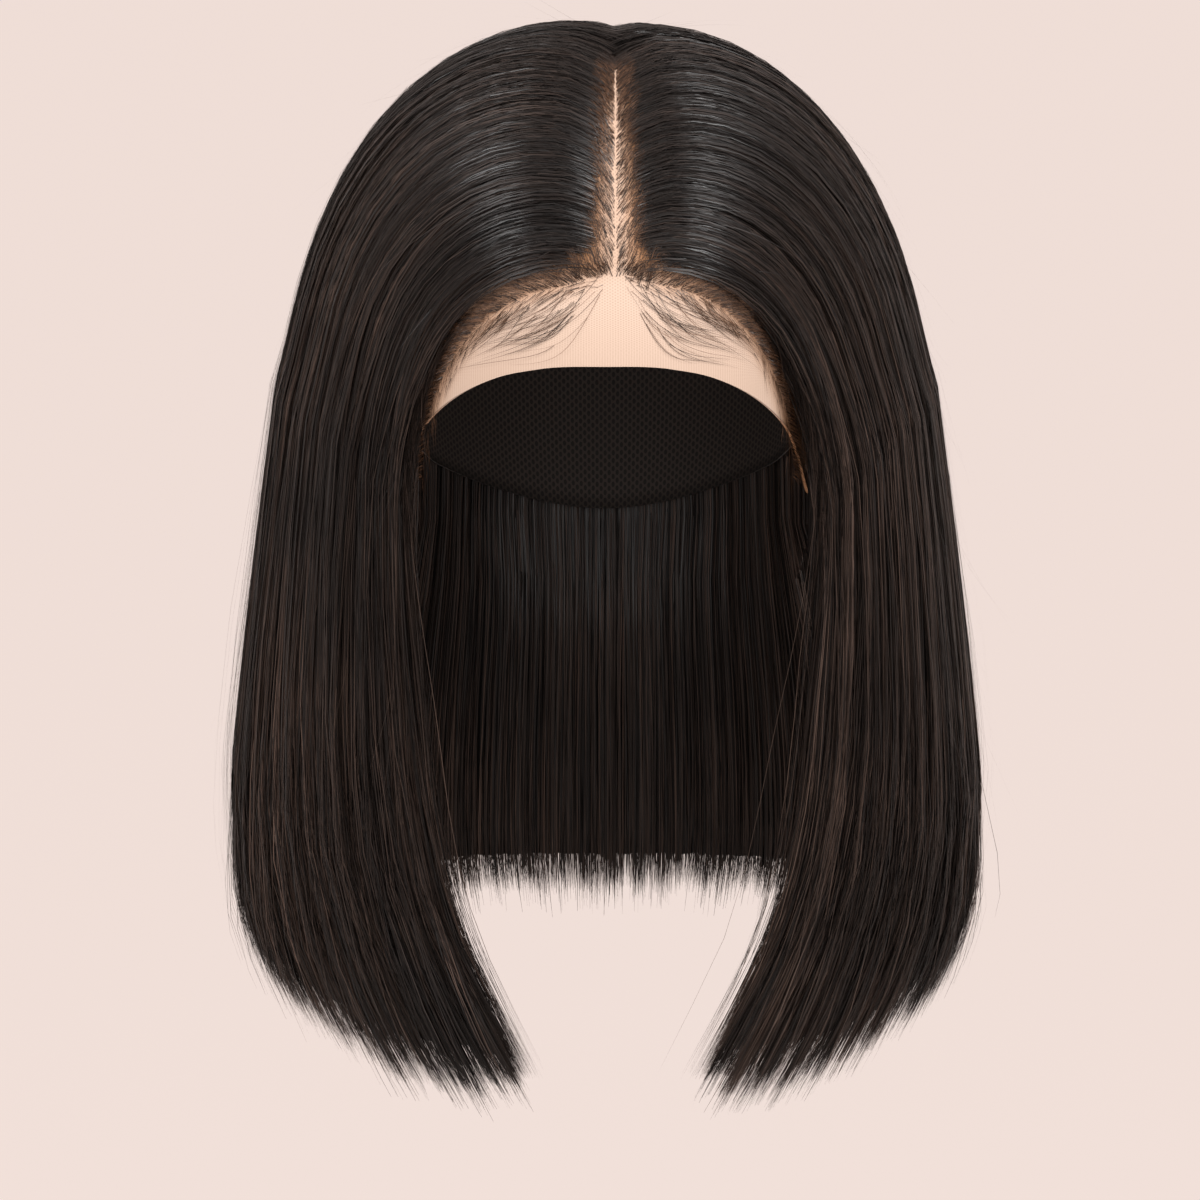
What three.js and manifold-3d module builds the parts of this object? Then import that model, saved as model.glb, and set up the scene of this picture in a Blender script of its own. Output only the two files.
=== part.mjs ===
// A straight bob wig with a centre parting: a cap whose front is skin-coloured lace, and five sections
// of hair that hang from it. Millimetres, +Z up. The face looks along -Y. The origin is the inside of
// the crown, where the wig sits on a head.
import * as THREE from 'three';
import { mergeVertices } from 'three/addons/utils/BufferGeometryUtils.js';
import Module from 'manifold-3d';

const wasm = await Module();
wasm.setup();

const { clamp, degToRad, lerp, radToDeg, smoothstep } = THREE.MathUtils;
const quarterTurn = Math.PI / 2;

// The head that the cap fits: half its width and depth, and the drop from the crown to its widest level.
// Its section is an ellipse at a squareness of 2, and fuller above that
const headHalfWidth = 75;
const headHalfDepth = 96;
const headRise = 100;
const headSquareness = 2.1;

// The cap: its wall, its drop at the nape and how far it draws in there
const capWall = 1.2;
const capDepth = 172;
const napeTuck = 0.08;
const rimBend = 3;

// The seam between the lace and the net: its gap, its place behind the crown and its tilt
const seamGap = 0.4;
const seamBehindCrown = 22;
const seamTilt = degToRad(15);

// The roots: the hairline's drop at the middle, how far the parting lies to the viewer's right, where
// the bare line closes in front of the crown, and how far behind the crown the last roots lie
const hairlineDrop = 69;
const partingAside = 3.5;
const partingEnd = 40;
const partingClosing = 22;
const rootsEnd = 46;

// Half the parting's bare width, at the hairline and at its end, and the hairs' least distance behind it
const partingAtHairline = 11;
const partingAtEnd = 3.4;
const crownSplit = 0.5;

// The hair: its gap to the cap, its thickness at the roots in the parting and behind its end, its lift
// off the head, and how soon it lifts
const hairClearance = 0.8;
const rootThickness = 1.5;
const crownThickness = 5.5;
const hairLift = 8;
const swellAngle = degToRad(8);

// The hair's bulk: its width beside the head, its depth behind the head, and its thickness
const sideBulkWidth = 57.5;
const backBulkDepth = 22;
const hairThickness = 36;

// Drops from the crown: where the hair leaves the head, and its longest ends
const hangDrop = 120;
const hairLength = 342;

// Locks: the depth of the grooves between them, how far their points and their chance reach, and how
// far their borders stray, as a share of their width
const lockGroove = 2.4;
const lockPoint = 7;
const tipUnevenness = 4;
const lockUnevenness = 0.22;

// The least gap between two sections of hair
const sectionGap = 0.4;

// Corners that lie closer together than this are one corner
const mergeDistance = 0.001;

// Rows and columns of points in each surface
const domeRows = 9;
const fallRows = 9;
const capRows = 9;
const capColumns = 40;
const columnsPerLock = 2;

// The cap's edge. azimuth: degrees from the face; depth: share of capDepth
const capEdge = [
  { azimuth: 0, depth: 0.575 },
  { azimuth: 28, depth: 0.6 },
  { azimuth: 52, depth: 0.71 },
  { azimuth: 72, depth: 0.87 },
  { azimuth: 96, depth: 0.75 },
  { azimuth: 126, depth: 0.88 },
  { azimuth: 180, depth: 1 },
];

// The hair's outline from above at seven levels. fall: share of the way from hangDrop to hairLength;
// frontX: share of headHalfWidth; frontY and sideY: shares of headHalfDepth; side: share of
// sideBulkWidth; back: share of backBulkDepth; thick: share of hairThickness
const outlines = [
  { fall: 0, frontX: 0.96, frontY: -0.68, side: 0.71, sideY: 0.07, back: 0.9, thick: 1 },
  { fall: 0.2, frontX: 0.975, frontY: -0.69, side: 0.82, sideY: 0.07, back: 1, thick: 1 },
  { fall: 0.42, frontX: 0.95, frontY: -0.7, side: 0.925, sideY: 0.055, back: 0.97, thick: 0.94 },
  { fall: 0.65, frontX: 0.88, frontY: -0.71, side: 1, sideY: 0.04, back: 0.8, thick: 0.84 },
  { fall: 0.8, frontX: 0.75, frontY: -0.72, side: 0.93, sideY: 0.02, back: 0.5, thick: 0.68 },
  { fall: 0.9, frontX: 0.6, frontY: -0.725, side: 0.78, sideY: 0, back: 0.22, thick: 0.5 },
  { fall: 1, frontX: 0.44, frontY: -0.73, side: 0.58, sideY: -0.02, back: -0.1, thick: 0.34 },
];

// The strands from the face's edge (place 0) over the side (sidePlace) to the middle of the back
// (place 1). root: share of the line of roots; lift: share of hairLift; hang: share of hangDrop; tip:
// share of hairLength; thick: share of the outline's thickness
const sidePlace = 0.42;
const strands = [
  { place: 0, root: 0, lift: 0.3, hang: 1.22, tip: 1, thick: 0.16 },
  { place: 0.05, root: 0.07, lift: 0.7, hang: 1.16, tip: 1.004, thick: 0.42 },
  { place: 0.14, root: 0.2, lift: 0.95, hang: 1.06, tip: 0.995, thick: 0.75 },
  { place: 0.28, root: 0.4, lift: 1, hang: 1, tip: 0.955, thick: 0.95 },
  { place: sidePlace, root: 0.6, lift: 1, hang: 0.97, tip: 0.92, thick: 1 },
  { place: 0.7, root: 0.82, lift: 1, hang: 1, tip: 0.91, thick: 0.92 },
  { place: 1, root: 1, lift: 1, hang: 1.04, tip: 0.915, thick: 0.86 },
];

// The sections, by how far round they go: -1 is the face's edge at the viewer's left, 0 the middle of
// the back and 1 the face's edge at the right
const sections = [
  { name: 'front_hair_left', from: -1, to: -0.66, locks: 6 },
  { name: 'side_hair_left', from: -0.66, to: -0.32, locks: 5 },
  { name: 'back_hair', from: -0.32, to: 0.32, locks: 10 },
  { name: 'side_hair_right', from: 0.32, to: 0.66, locks: 5 },
  { name: 'front_hair_right', from: 0.66, to: 1, locks: 6 },
];

// Reads a table at any value of its key column with a smooth curve through its rows, level at both ends
// where the shape goes on as in a mirror
function smoothTable(rows, key, mirrored = false) {
  const columns = Object.keys(rows[0]).filter((column) => column !== key);
  const values = rows.flatMap((row) => columns.map((column) => row[column]));
  const curve = new THREE.CubicInterpolant(rows.map((row) => row[key]), values, columns.length);
  const ending = mirrored ? THREE.ZeroSlopeEnding : THREE.ZeroCurvatureEnding;
  curve.settings = { endingStart: ending, endingEnd: ending };
  return (at) => {
    const read = curve.evaluate(at);
    return Object.fromEntries(columns.map((column, i) => [column, read[i]]));
  };
}

const outlineAt = smoothTable(outlines, 'fall');
const strandAt = smoothTable(strands, 'place');
const capEdgeAt = smoothTable(capEdge, 'azimuth', true);

// A repeatable value from -1 to 1 that stands in for chance, from two waves that share no beat
const fastWave = 12.99;
const slowWave = 4.14;
const uneven = (n) => Math.sin(n * fastWave) * Math.cos(n * slowWave);

// How far a point lies out along its own direction on a form that is larger than the head by growth:
// 1 is on the form. Below the widest level the form is upright and only x and y count
function reach(point, growth) {
  const up = Math.max(point.z + headRise, 0) / (headRise + growth);
  const shares = [point.x / (headHalfWidth + growth), point.y / (headHalfDepth + growth), up];
  const sum = shares.reduce((total, share) => total + Math.abs(share) ** headSquareness, 0);
  return sum ** (1 / headSquareness);
}

// The point on that form in the same direction, with its distance multiplied by swell
function onHead(point, growth, swell = 1) {
  const scale = swell / reach(point, growth);
  const up = point.z < -headRise ? point.z : (point.z + headRise) * scale - headRise;
  return new THREE.Vector3(point.x * scale, point.y * scale, up);
}

// The point moved towards the upright middle line by a length
function pulledIn(point, length) {
  const flat = Math.hypot(point.x, point.y);
  const scale = 1 - length / Math.max(flat, length);
  return new THREE.Vector3(point.x * scale, point.y * scale, point.z);
}

// Drops the triangles whose corners have merged
function withoutSlivers(geometry) {
  const corners = geometry.index.array;
  const kept = [];
  for (let i = 0; i < corners.length; i += 3) {
    const [a, b, c] = corners.slice(i, i + 3);
    if (a !== b && b !== c && c !== a) {
      kept.push(a, b, c);
    }
  }
  geometry.setIndex(kept);
  return geometry;
}

// A closed solid between two grids of points, with walls along their free borders. With wraps, the
// last column meets the first. Triangles that close up at a pole are left out
function solidBetween(outer, inner, columns, rows, wraps = false) {
  const positions = [];
  const index = [];
  const at = (layer, c, r) => (layer * (columns + 1) + c) * (rows + 1) + r;
  for (const layer of [outer, inner]) {
    for (let c = 0; c <= columns; c += 1) {
      for (let r = 0; r <= rows; r += 1) {
        positions.push(...layer(wraps ? c % columns : c, r).toArray());
      }
    }
  }
  const quad = (a, b, c, d) => index.push(a, c, b, a, d, c);
  for (let c = 0; c < columns; c += 1) {
    for (let r = 0; r < rows; r += 1) {
      quad(at(0, c, r), at(0, c, r + 1), at(0, c + 1, r + 1), at(0, c + 1, r));
      quad(at(1, c, r), at(1, c + 1, r), at(1, c + 1, r + 1), at(1, c, r + 1));
    }
    quad(at(0, c, 0), at(0, c + 1, 0), at(1, c + 1, 0), at(1, c, 0));
    quad(at(0, c, rows), at(1, c, rows), at(1, c + 1, rows), at(0, c + 1, rows));
  }
  for (let r = 0; r < rows && !wraps; r += 1) {
    quad(at(0, 0, r), at(1, 0, r), at(1, 0, r + 1), at(0, 0, r + 1));
    quad(at(0, columns, r), at(0, columns, r + 1), at(1, columns, r + 1), at(1, columns, r));
  }
  const loose = new THREE.BufferGeometry();
  loose.setAttribute('position', new THREE.Float32BufferAttribute(positions, 3));
  loose.setIndex(index);
  return withoutSlivers(mergeVertices(loose, mergeDistance));
}

function toManifold(geometry) {
  const bare = geometry.clone();
  bare.deleteAttribute('normal');
  bare.deleteAttribute('uv');
  const merged = mergeVertices(bare);
  return new wasm.Manifold(new wasm.Mesh({
    numProp: 3,
    vertProperties: new Float32Array(merged.getAttribute('position').array),
    triVerts: new Uint32Array(merged.index.array),
  }));
}

function toGeometry(manifold) {
  const mesh = manifold.getMesh();
  const geometry = new THREE.BufferGeometry();
  geometry.setAttribute('position', new THREE.Float32BufferAttribute(mesh.vertProperties, 3));
  geometry.setIndex(Array.from(mesh.triVerts));
  return geometry;
}

// The cap's wall at a column and a row, from the crown (row 0) down to the cap's edge (last row). Over
// the dome the rows turn down with the head, and past its widest level they drop straight
function capPoint(column, row, growth) {
  const turn = (column / capColumns) * 2 * Math.PI;
  const fromFace = 180 - Math.abs(180 - radToDeg(turn));
  const edge = capEdgeAt(fromFace).depth * capDepth;
  const share = row / capRows;
  const angle = Math.min(edge / headRise, 1) * Math.sin(share * quarterTurn) * quarterTurn;
  const below = Math.max(edge - headRise, 0) * share ** rimBend;
  const point = onHead(new THREE.Vector3(
    -Math.sin(turn) * Math.sin(angle) * headHalfWidth,
    -Math.cos(turn) * Math.sin(angle) * headHalfDepth,
    (Math.cos(angle) - 1) * headRise,
  ), growth);
  const tuck = 1 - napeTuck * (below / (capDepth - headRise)) ** 2;
  return new THREE.Vector3(point.x * tuck, point.y * tuck, point.z - below);
}

// A box that holds all of the cap in front of the seam between the lace and the net, or all behind it
function seamCutter(front) {
  const size = 2 * (capDepth + headHalfDepth);
  const away = (size + seamGap) / 2;
  const box = new THREE.BoxGeometry(size, size, size);
  box.translate(0, front ? -away : away, 0);
  box.rotateX(-seamTilt);
  box.translate(0, seamBehindCrown, 0);
  return toManifold(box);
}

// The line of roots: the angles about the head's middle where it starts, at the hairline, and ends
const hairlineUp = headRise - hairlineDrop;
const hairlineShare = (1 - (hairlineUp / headRise) ** headSquareness) ** (1 / headSquareness);
const hairlineY = -headHalfDepth * hairlineShare;
const firstRoot = Math.atan2(-hairlineY, hairlineUp);
const lastRoot = Math.atan2(-rootsEnd, headRise);

// How far the parting has closed at a root: 0 as far as its end, and 1 over the crown
const closedAt = (root) => smoothstep(root.y, -partingEnd, partingClosing - partingEnd);

// Where a strand leaves the cap: on the middle line, and set aside by half the parting's width. The
// parting narrows from the hairline to its end, and closes behind that
function rootPoint(place, side) {
  const angle = lerp(firstRoot, lastRoot, strandAt(place).root);
  const root = onHead(new THREE.Vector3(0, -Math.sin(angle), Math.cos(angle) - headRise), 0);
  const along = clamp((root.y - hairlineY) / (-partingEnd - hairlineY), 0, 1);
  const bare = lerp(partingAtHairline, partingAtEnd, along);
  root.x = partingAside + side * lerp(bare, crownSplit, closedAt(root));
  return root;
}

// The hair's outline at a drop below the crown. It runs from the face's edge in an arc to the side, and
// in another to the middle of the back. The face's edges keep the parting's place to one side
function outlinePoint(place, drop, side) {
  const row = outlineAt(clamp((drop - hangDrop) / (hairLength - hangDrop), 0, 1));
  const sideX = headHalfWidth + row.side * sideBulkWidth;
  const backY = headHalfDepth + row.back * backBulkDepth;
  const toSide = Math.min(place / sidePlace, 1) * quarterTurn;
  const toBack = Math.max((place - sidePlace) / (1 - sidePlace), 0) * quarterTurn;
  const frontX = row.frontX * headHalfWidth;
  const x = lerp(frontX, sideX, Math.sin(toSide)) * Math.cos(toBack);
  const frontY = lerp(row.sideY, row.frontY, Math.cos(toSide)) * headHalfDepth;
  const y = lerp(frontY, backY, Math.sin(toBack));
  return new THREE.Vector3(side * x + partingAside * Math.cos(toSide), y, -drop);
}

// A strand's path over the head, turn 0 at the root and a quarter turn where it begins to hang: a
// quarter of an ellipse, laid on the head and then lifted off it
function domePoint(place, side, turn, inner) {
  const clear = capWall + hairClearance;
  const { lift, hang } = strandAt(place);
  const root = rootPoint(place, side);
  const foot = outlinePoint(place, hang * hangDrop, side);
  const footOnHead = onHead(foot, 0);
  const raw = new THREE.Vector3(
    lerp(root.x, footOnHead.x, Math.sin(turn)),
    lerp(root.y, footOnHead.y, Math.sin(turn)),
    lerp(root.z, footOnHead.z, 1 - Math.cos(turn)),
  );
  if (inner) {
    return onHead(raw, clear);
  }
  const atRoot = lerp(rootThickness, crownThickness, closedAt(root));
  const full = Math.max(lift * hairLift, atRoot);
  const height = lerp(full, atRoot, Math.exp(-turn / swellAngle));
  return onHead(raw, clear, lerp(1 + height / headRise, reach(foot, clear), 1 - Math.cos(turn)));
}

// A strand below the head, at a drop from the crown. Its inner side lies against the cap as far as the
// cap goes down, and comes away below that
function fallPoint(place, side, drop, groove, inner) {
  const outside = outlinePoint(place, drop, side);
  if (!inner) {
    return pulledIn(outside, groove);
  }
  const fall = clamp((drop - hangDrop) / (hairLength - hangDrop), 0, 1);
  const hollow = pulledIn(outside, outlineAt(fall).thick * strandAt(place).thick * hairThickness);
  const besideCap = onHead(outside, capWall + hairClearance);
  return hollow.lerp(besideCap, 1 - smoothstep(drop, capDepth, capDepth + hairThickness));
}

// A point of a strand. Rows run from the root over the head, then down to the cut ends
function strandPoint(place, side, row, groove, tipShift, inner) {
  if (row <= domeRows) {
    const turn = (row / domeRows) * quarterTurn;
    return pulledIn(domePoint(place, side, turn, inner), inner ? 0 : groove * Math.sin(turn));
  }
  const { hang, tip } = strandAt(place);
  const drop = lerp(hang * hangDrop, tip * hairLength + tipShift, (row - domeRows) / fallRows);
  return fallPoint(place, side, drop, groove, inner);
}

// One section of hair: a thick curtain with a ridge and a groove of points for each lock
function hairSection({ from, to, locks }) {
  const columns = locks * columnsPerLock;
  const halfGap = sectionGap / headRise / (firstRoot - lastRoot);
  const point = (c, r, inner) => {
    const border = c === 0 || c === columns;
    const stray = border ? 0 : lockUnevenness * uneven(c + from * columns);
    const round = lerp(from + halfGap, to - halfGap, (c + stray) / columns);
    const ridge = c % columnsPerLock === 1;
    const tipShift = (ridge ? lockPoint : 0) + tipUnevenness * uneven(c + to * columns);
    const side = round < 0 ? -1 : 1;
    return strandPoint(1 - Math.abs(round), side, r, ridge ? 0 : lockGroove, tipShift, inner);
  };
  return solidBetween(
    (c, r) => point(c, r, false),
    (c, r) => point(c, r, true),
    columns,
    domeRows + fallRows,
  );
}

const laceMaterial = new THREE.MeshStandardMaterial({ color: 0xdcb394, roughness: 0.85, metalness: 0 });
const netMaterial = new THREE.MeshStandardMaterial({ color: 0x16120f, roughness: 0.9, metalness: 0 });
const hairMaterial = new THREE.MeshStandardMaterial({ color: 0x1d1715, roughness: 0.42, metalness: 0 });

const wig = new THREE.Group();

function addPiece(name, geometry, material) {
  const piece = new THREE.Mesh(geometry, material);
  piece.name = name;
  wig.add(piece);
}

const wholeCap = toManifold(solidBetween(
  (c, r) => capPoint(c, r, capWall),
  (c, r) => capPoint(c, r, 0),
  capColumns,
  capRows,
  true,
));

addPiece('lace_front', toGeometry(wholeCap.intersect(seamCutter(true))), laceMaterial);
addPiece('net_cap', toGeometry(wholeCap.intersect(seamCutter(false))), netMaterial);
for (const section of sections) {
  addPiece(section.name, hairSection(section), hairMaterial);
}

export default wig;
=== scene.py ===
# %% [markdown]
# # A lace-front bob wig, strand by strand
#
# A wig is a thin cap with hair knotted into it. The cap is a small part of what is seen. The rest is some
# tens of thousands of strands, and how they look comes from where each one leaves the cap, how it lies
# over the head and how it ends. So this lesson builds one function that answers "where is this strand at
# this height", and then asks it for all the strands at once, as numpy arrays.
#
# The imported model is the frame. It has the cap in two halves and five sections of hair, as plain solids
# of the right size. Each of them is replaced here by pieces in the same place.

# %% Load the frame
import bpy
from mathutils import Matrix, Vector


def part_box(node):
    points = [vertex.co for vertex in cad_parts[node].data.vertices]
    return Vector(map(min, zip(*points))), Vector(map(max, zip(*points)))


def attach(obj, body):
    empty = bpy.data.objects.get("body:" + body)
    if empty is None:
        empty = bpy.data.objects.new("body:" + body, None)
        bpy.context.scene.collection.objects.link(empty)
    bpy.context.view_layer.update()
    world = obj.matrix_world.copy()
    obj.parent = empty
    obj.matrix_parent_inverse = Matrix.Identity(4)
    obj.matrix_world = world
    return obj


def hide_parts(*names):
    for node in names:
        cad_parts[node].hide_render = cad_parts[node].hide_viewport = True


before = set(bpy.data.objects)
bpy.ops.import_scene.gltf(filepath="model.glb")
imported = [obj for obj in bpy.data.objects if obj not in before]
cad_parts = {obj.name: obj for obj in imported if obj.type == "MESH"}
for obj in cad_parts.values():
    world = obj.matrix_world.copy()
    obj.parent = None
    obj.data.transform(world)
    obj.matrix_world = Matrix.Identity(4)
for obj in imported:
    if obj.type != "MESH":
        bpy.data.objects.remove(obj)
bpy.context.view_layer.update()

from types import SimpleNamespace

import bmesh
import bpy
import numpy as np
from mathutils import Vector

print("nodes:", sorted(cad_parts))

# %% [markdown]
# ## Measures
#
# Blender works in metres, and a wig is easier to think about in millimetres, so every size is written as
# a number of millimetres times `MM`. The head's form and the hair's outline are the same values as the
# solids were made from, and the box of the frame shows whether they agree. The parting runs on a little
# farther between the strands than between the solids.

# %% Sizes of the head, the cap and the hair
MM = 0.001

head_half_width = 75 * MM
head_half_depth = 96 * MM
head_rise = 100 * MM
head_squareness = 2.1

cap_wall = 1.2 * MM
cap_depth = 172 * MM
nape_tuck = 0.08
rim_bend = 3
seam_behind_crown = 22 * MM
seam_tilt = np.radians(15)

hairline_drop = 69 * MM
parting_aside = 3.5 * MM
parting_end = 29 * MM
parting_closing = 14 * MM
roots_end = 46 * MM
parting_at_hairline = 11 * MM
parting_at_end = 2.2 * MM
crown_split = 0.5 * MM
crown_scatter = 16 * MM

hair_clearance = 0.8 * MM
root_thickness = 1.5 * MM
crown_thickness = 5.5 * MM
hair_lift = 8 * MM
swell_angle = np.radians(8)
side_bulk = 57.5 * MM
back_bulk = 22 * MM
hair_thickness = 36 * MM
hang_drop = 120 * MM
hair_length = 342 * MM
lock_point = 7 * MM

QUARTER = np.pi / 2
RNG = np.random.default_rng(11)

own_half_width = head_half_width + side_bulk
frame_half_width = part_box("side_hair_right")[1].x
print(f"hair's half width in mm: {own_half_width / MM:.1f}, in the frame: {frame_half_width / MM:.1f}")

# %% [markdown]
# ## Tables that read as curves
#
# The hair's outline changes from level to level, and a strand's lift, length and thickness change from
# the face to the back. A short table with named columns holds each. To read it between its rows there
# are three usual choices: straight lines, which would leave creases in the hair, one polynomial, which
# swings wildly, or a cubic Hermite curve, which passes through every row and stays smooth. This uses the
# last one.

# %% Tables
SIDE_PLACE = 0.42

outline_table = {
    "fall": [0, 0.2, 0.42, 0.65, 0.8, 0.9, 1, 1.1],
    "front_x": [0.96, 0.975, 0.95, 0.88, 0.75, 0.6, 0.44, 0.28],
    "front_y": [-0.68, -0.69, -0.7, -0.71, -0.72, -0.725, -0.73, -0.735],
    "side": [0.71, 0.82, 0.925, 1, 0.93, 0.78, 0.58, 0.36],
    "side_y": [0.07, 0.07, 0.055, 0.04, 0.02, 0, -0.02, -0.04],
    "back": [0.9, 1, 0.97, 0.8, 0.5, 0.22, -0.1, -0.42],
    "thick": [1, 1, 0.94, 0.84, 0.68, 0.5, 0.34, 0.2],
}

strand_table = {
    "place": [0, 0.05, 0.14, 0.28, SIDE_PLACE, 0.7, 1],
    "root": [0, 0.07, 0.2, 0.4, 0.6, 0.82, 1],
    "lift": [0.3, 0.7, 0.95, 1, 1, 1, 1],
    "hang": [1.22, 1.16, 1.06, 1, 0.97, 1, 1.04],
    "tip": [1, 1.004, 0.995, 0.955, 0.92, 0.91, 0.915],
    "thick": [0.16, 0.42, 0.75, 0.95, 1, 0.92, 0.86],
}

cap_edge_table = {
    "azimuth": [0, 28, 52, 72, 96, 126, 180],
    "depth": [0.575, 0.6, 0.71, 0.87, 0.75, 0.88, 1],
}


def read(table, key, at, mirrored=False):
    """Every column of a table at any values of its key column.

    Between two rows the value is the cubic that meets both rows and has their slopes there. A row's
    slope is that of the parabola through the row and its neighbours, and level at both ends of a table
    that goes on as in a mirror.
    """
    keys = np.array(table[key], float)
    at = np.clip(at, keys[0], keys[-1])
    row = np.clip(np.searchsorted(keys, at) - 1, 0, len(keys) - 2)
    step = keys[row + 1] - keys[row]
    t = (at - keys[row]) / step
    columns = {}
    for name, column in table.items():
        values = np.array(column, float)
        slopes = np.gradient(values, keys)
        if mirrored:
            slopes[[0, -1]] = 0
        ends = (1 + 2 * t) * (1 - t) ** 2 * values[row] + t**2 * (3 - 2 * t) * values[row + 1]
        bends = t * (1 - t) ** 2 * slopes[row] - t**2 * (1 - t) * slopes[row + 1]
        columns[name] = ends + step * bends
    return SimpleNamespace(**columns)


def mix(a, b, share):
    """a at share 0, b at share 1."""
    return a + (b - a) * share


def smooth_step(value, low, high):
    """0 below low, 1 above high, and 3t^2 - 2t^3 between them."""
    t = np.clip((value - low) / (high - low), 0, 1)
    return t * t * (3 - 2 * t)


side_ends = float(read(strand_table, "place", SIDE_PLACE).tip) * hair_length
print(f"the cut ends at the side lie {side_ends / MM:.0f} mm below the crown")

# %% [markdown]
# ## The head's form
#
# The cap and the hair both lie on a head. A sphere is too round and a box too square, so the form is a
# superellipsoid: the sum of three powers. `reach` says how many times farther out than the form a point
# lies, and dividing by it puts the point on the form. Below the widest level the form drops straight.

# %% Head form


def reach(points, growth):
    """The superellipsoid's sum of powers, taken to one over the power. 1 is on the form."""
    up = np.maximum(points[..., 2] + head_rise, 0) / (head_rise + growth)
    x = np.abs(points[..., 0]) / (head_half_width + growth)
    y = np.abs(points[..., 1]) / (head_half_depth + growth)
    return (x**head_squareness + y**head_squareness + up**head_squareness) ** (1 / head_squareness)


def on_head(points, growth, swell=1.0):
    """The points moved along their own direction from the head's middle onto the form, times swell."""
    scale = swell / reach(points, growth)
    z = points[..., 2]
    up = np.where(z < -head_rise, z, (z + head_rise) * scale - head_rise)
    return np.stack([points[..., 0] * scale, points[..., 1] * scale, up], -1)


# %% [markdown]
# ## Roots, from the hairline to the crown
#
# The hair of a wig with a parting starts along one line, from the middle of the hairline over the top to
# the crown. A root could be given by its place from above, but the form is steep at the forehead. So it is
# found by its angle about the head's middle, put on the form, and set aside by half the parting's width.

# %% Roots
hairline_up = head_rise - hairline_drop
hairline_share = (1 - (hairline_up / head_rise) ** head_squareness) ** (1 / head_squareness)
hairline_y = -head_half_depth * hairline_share
first_root = np.arctan2(-hairline_y, hairline_up)
last_root = np.arctan2(-roots_end, head_rise)


def parting_half_width(y):
    """Half the bare width of the parting: it narrows evenly from the hairline to the parting's end."""
    along = np.clip((y - hairline_y) / (-parting_end - hairline_y), 0, 1)
    return mix(parting_at_hairline, parting_at_end, along)


def closed_at(y):
    """How far the parting has closed: 0 as far as its end, and 1 over the crown."""
    return smooth_step(y, -parting_end, parting_closing - parting_end)


def root_points(place, side, aside=0.0):
    """Roots on the middle line, by angle about the head's middle, set aside by half the parting. aside
    moves them nearer the line, as a share of that half, and over it behind the parting's end."""
    angle = mix(first_root, last_root, read(strand_table, "place", place).root)
    flat = np.stack([0 * angle, -np.sin(angle), np.cos(angle) - head_rise], -1)
    roots = on_head(flat, 0)
    bare = parting_half_width(roots[..., 1]) * (1 - aside)
    behind = crown_split - aside * crown_scatter
    roots[..., 0] = parting_aside + side * mix(bare, behind, closed_at(roots[..., 1]))
    return roots


print(f"the hairline starts {-hairline_y / MM:.0f} mm before the crown, {hairline_drop / MM:.0f} mm below it")

# %% [markdown]
# ## The outline where the hair hangs
#
# Below the widest level of the head the hair hangs, and its outline is what the eye measures first. Seen
# from above it is two quarter arcs on each side of the wig, one from the face's edge to the side and one
# on to the back's middle. Arcs join without a crease, and their sizes come from the table of levels.

# %% Outline


def fall_of(drop):
    """How far down the hanging part a level lies: 0 where hair begins to hang, 1 at the hair's length."""
    return np.clip((drop - hang_drop) / (hair_length - hang_drop), 0, outline_table["fall"][-1])


def outline_points(place, drop, side):
    """Two quarter arcs at each level: from the face's edge to the side, and on to the back's middle."""
    row = read(outline_table, "fall", fall_of(drop))
    side_x = head_half_width + row.side * side_bulk
    back_y = head_half_depth + row.back * back_bulk
    to_side = np.minimum(place / SIDE_PLACE, 1) * QUARTER
    to_back = np.maximum((place - SIDE_PLACE) / (1 - SIDE_PLACE), 0) * QUARTER
    x = mix(row.front_x * head_half_width, side_x, np.sin(to_side)) * np.cos(to_back)
    front_y = mix(row.side_y, row.front_y, np.cos(to_side)) * head_half_depth
    y = mix(front_y, back_y, np.sin(to_back))
    return np.stack([side * x + parting_aside * np.cos(to_side), y, -drop], -1)


# %% [markdown]
# ## Surfaces of the hair
#
# Over the head a strand follows a quarter of an ellipse, from its root to the place where it begins to
# hang. From there it follows the outline. The hair is a layer, so each function gives its outer and its
# inner surface, and a strand can lie at any depth between the two.

# %% Surfaces


def pulled_in(points, length):
    """Moved towards the upright middle line by a length."""
    flat = np.hypot(points[..., 0], points[..., 1])
    scale = 1 - length / np.maximum(flat, length + 1e-9)
    return np.stack([points[..., 0] * scale, points[..., 1] * scale, points[..., 2]], -1)


def dome_points(place, side, turn, aside=0.0):
    """(outer, inner) surface of the hair over the head. turn is 0 at the root and a quarter turn where
    the hair begins to hang. The path is a quarter of an ellipse, laid on the head and lifted off it."""
    clear = cap_wall + hair_clearance
    row = read(strand_table, "place", place)
    root = root_points(place, side, aside)
    foot = outline_points(place, row.hang * hang_drop, side)
    foot_on_head = on_head(foot, 0)
    across = mix(root[..., :2], foot_on_head[..., :2], np.sin(turn)[..., None])
    down = mix(root[..., 2:], foot_on_head[..., 2:], (1 - np.cos(turn))[..., None])
    raw = np.concatenate([across, down], -1)
    at_root = mix(root_thickness, crown_thickness, closed_at(root[..., 1]))
    full = np.maximum(row.lift * hair_lift, at_root)
    height = mix(full, at_root, np.exp(-turn / swell_angle))
    swell = mix(1 + height / head_rise, reach(foot, clear), 1 - np.cos(turn))
    return on_head(raw, clear, swell), on_head(raw, clear)


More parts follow.
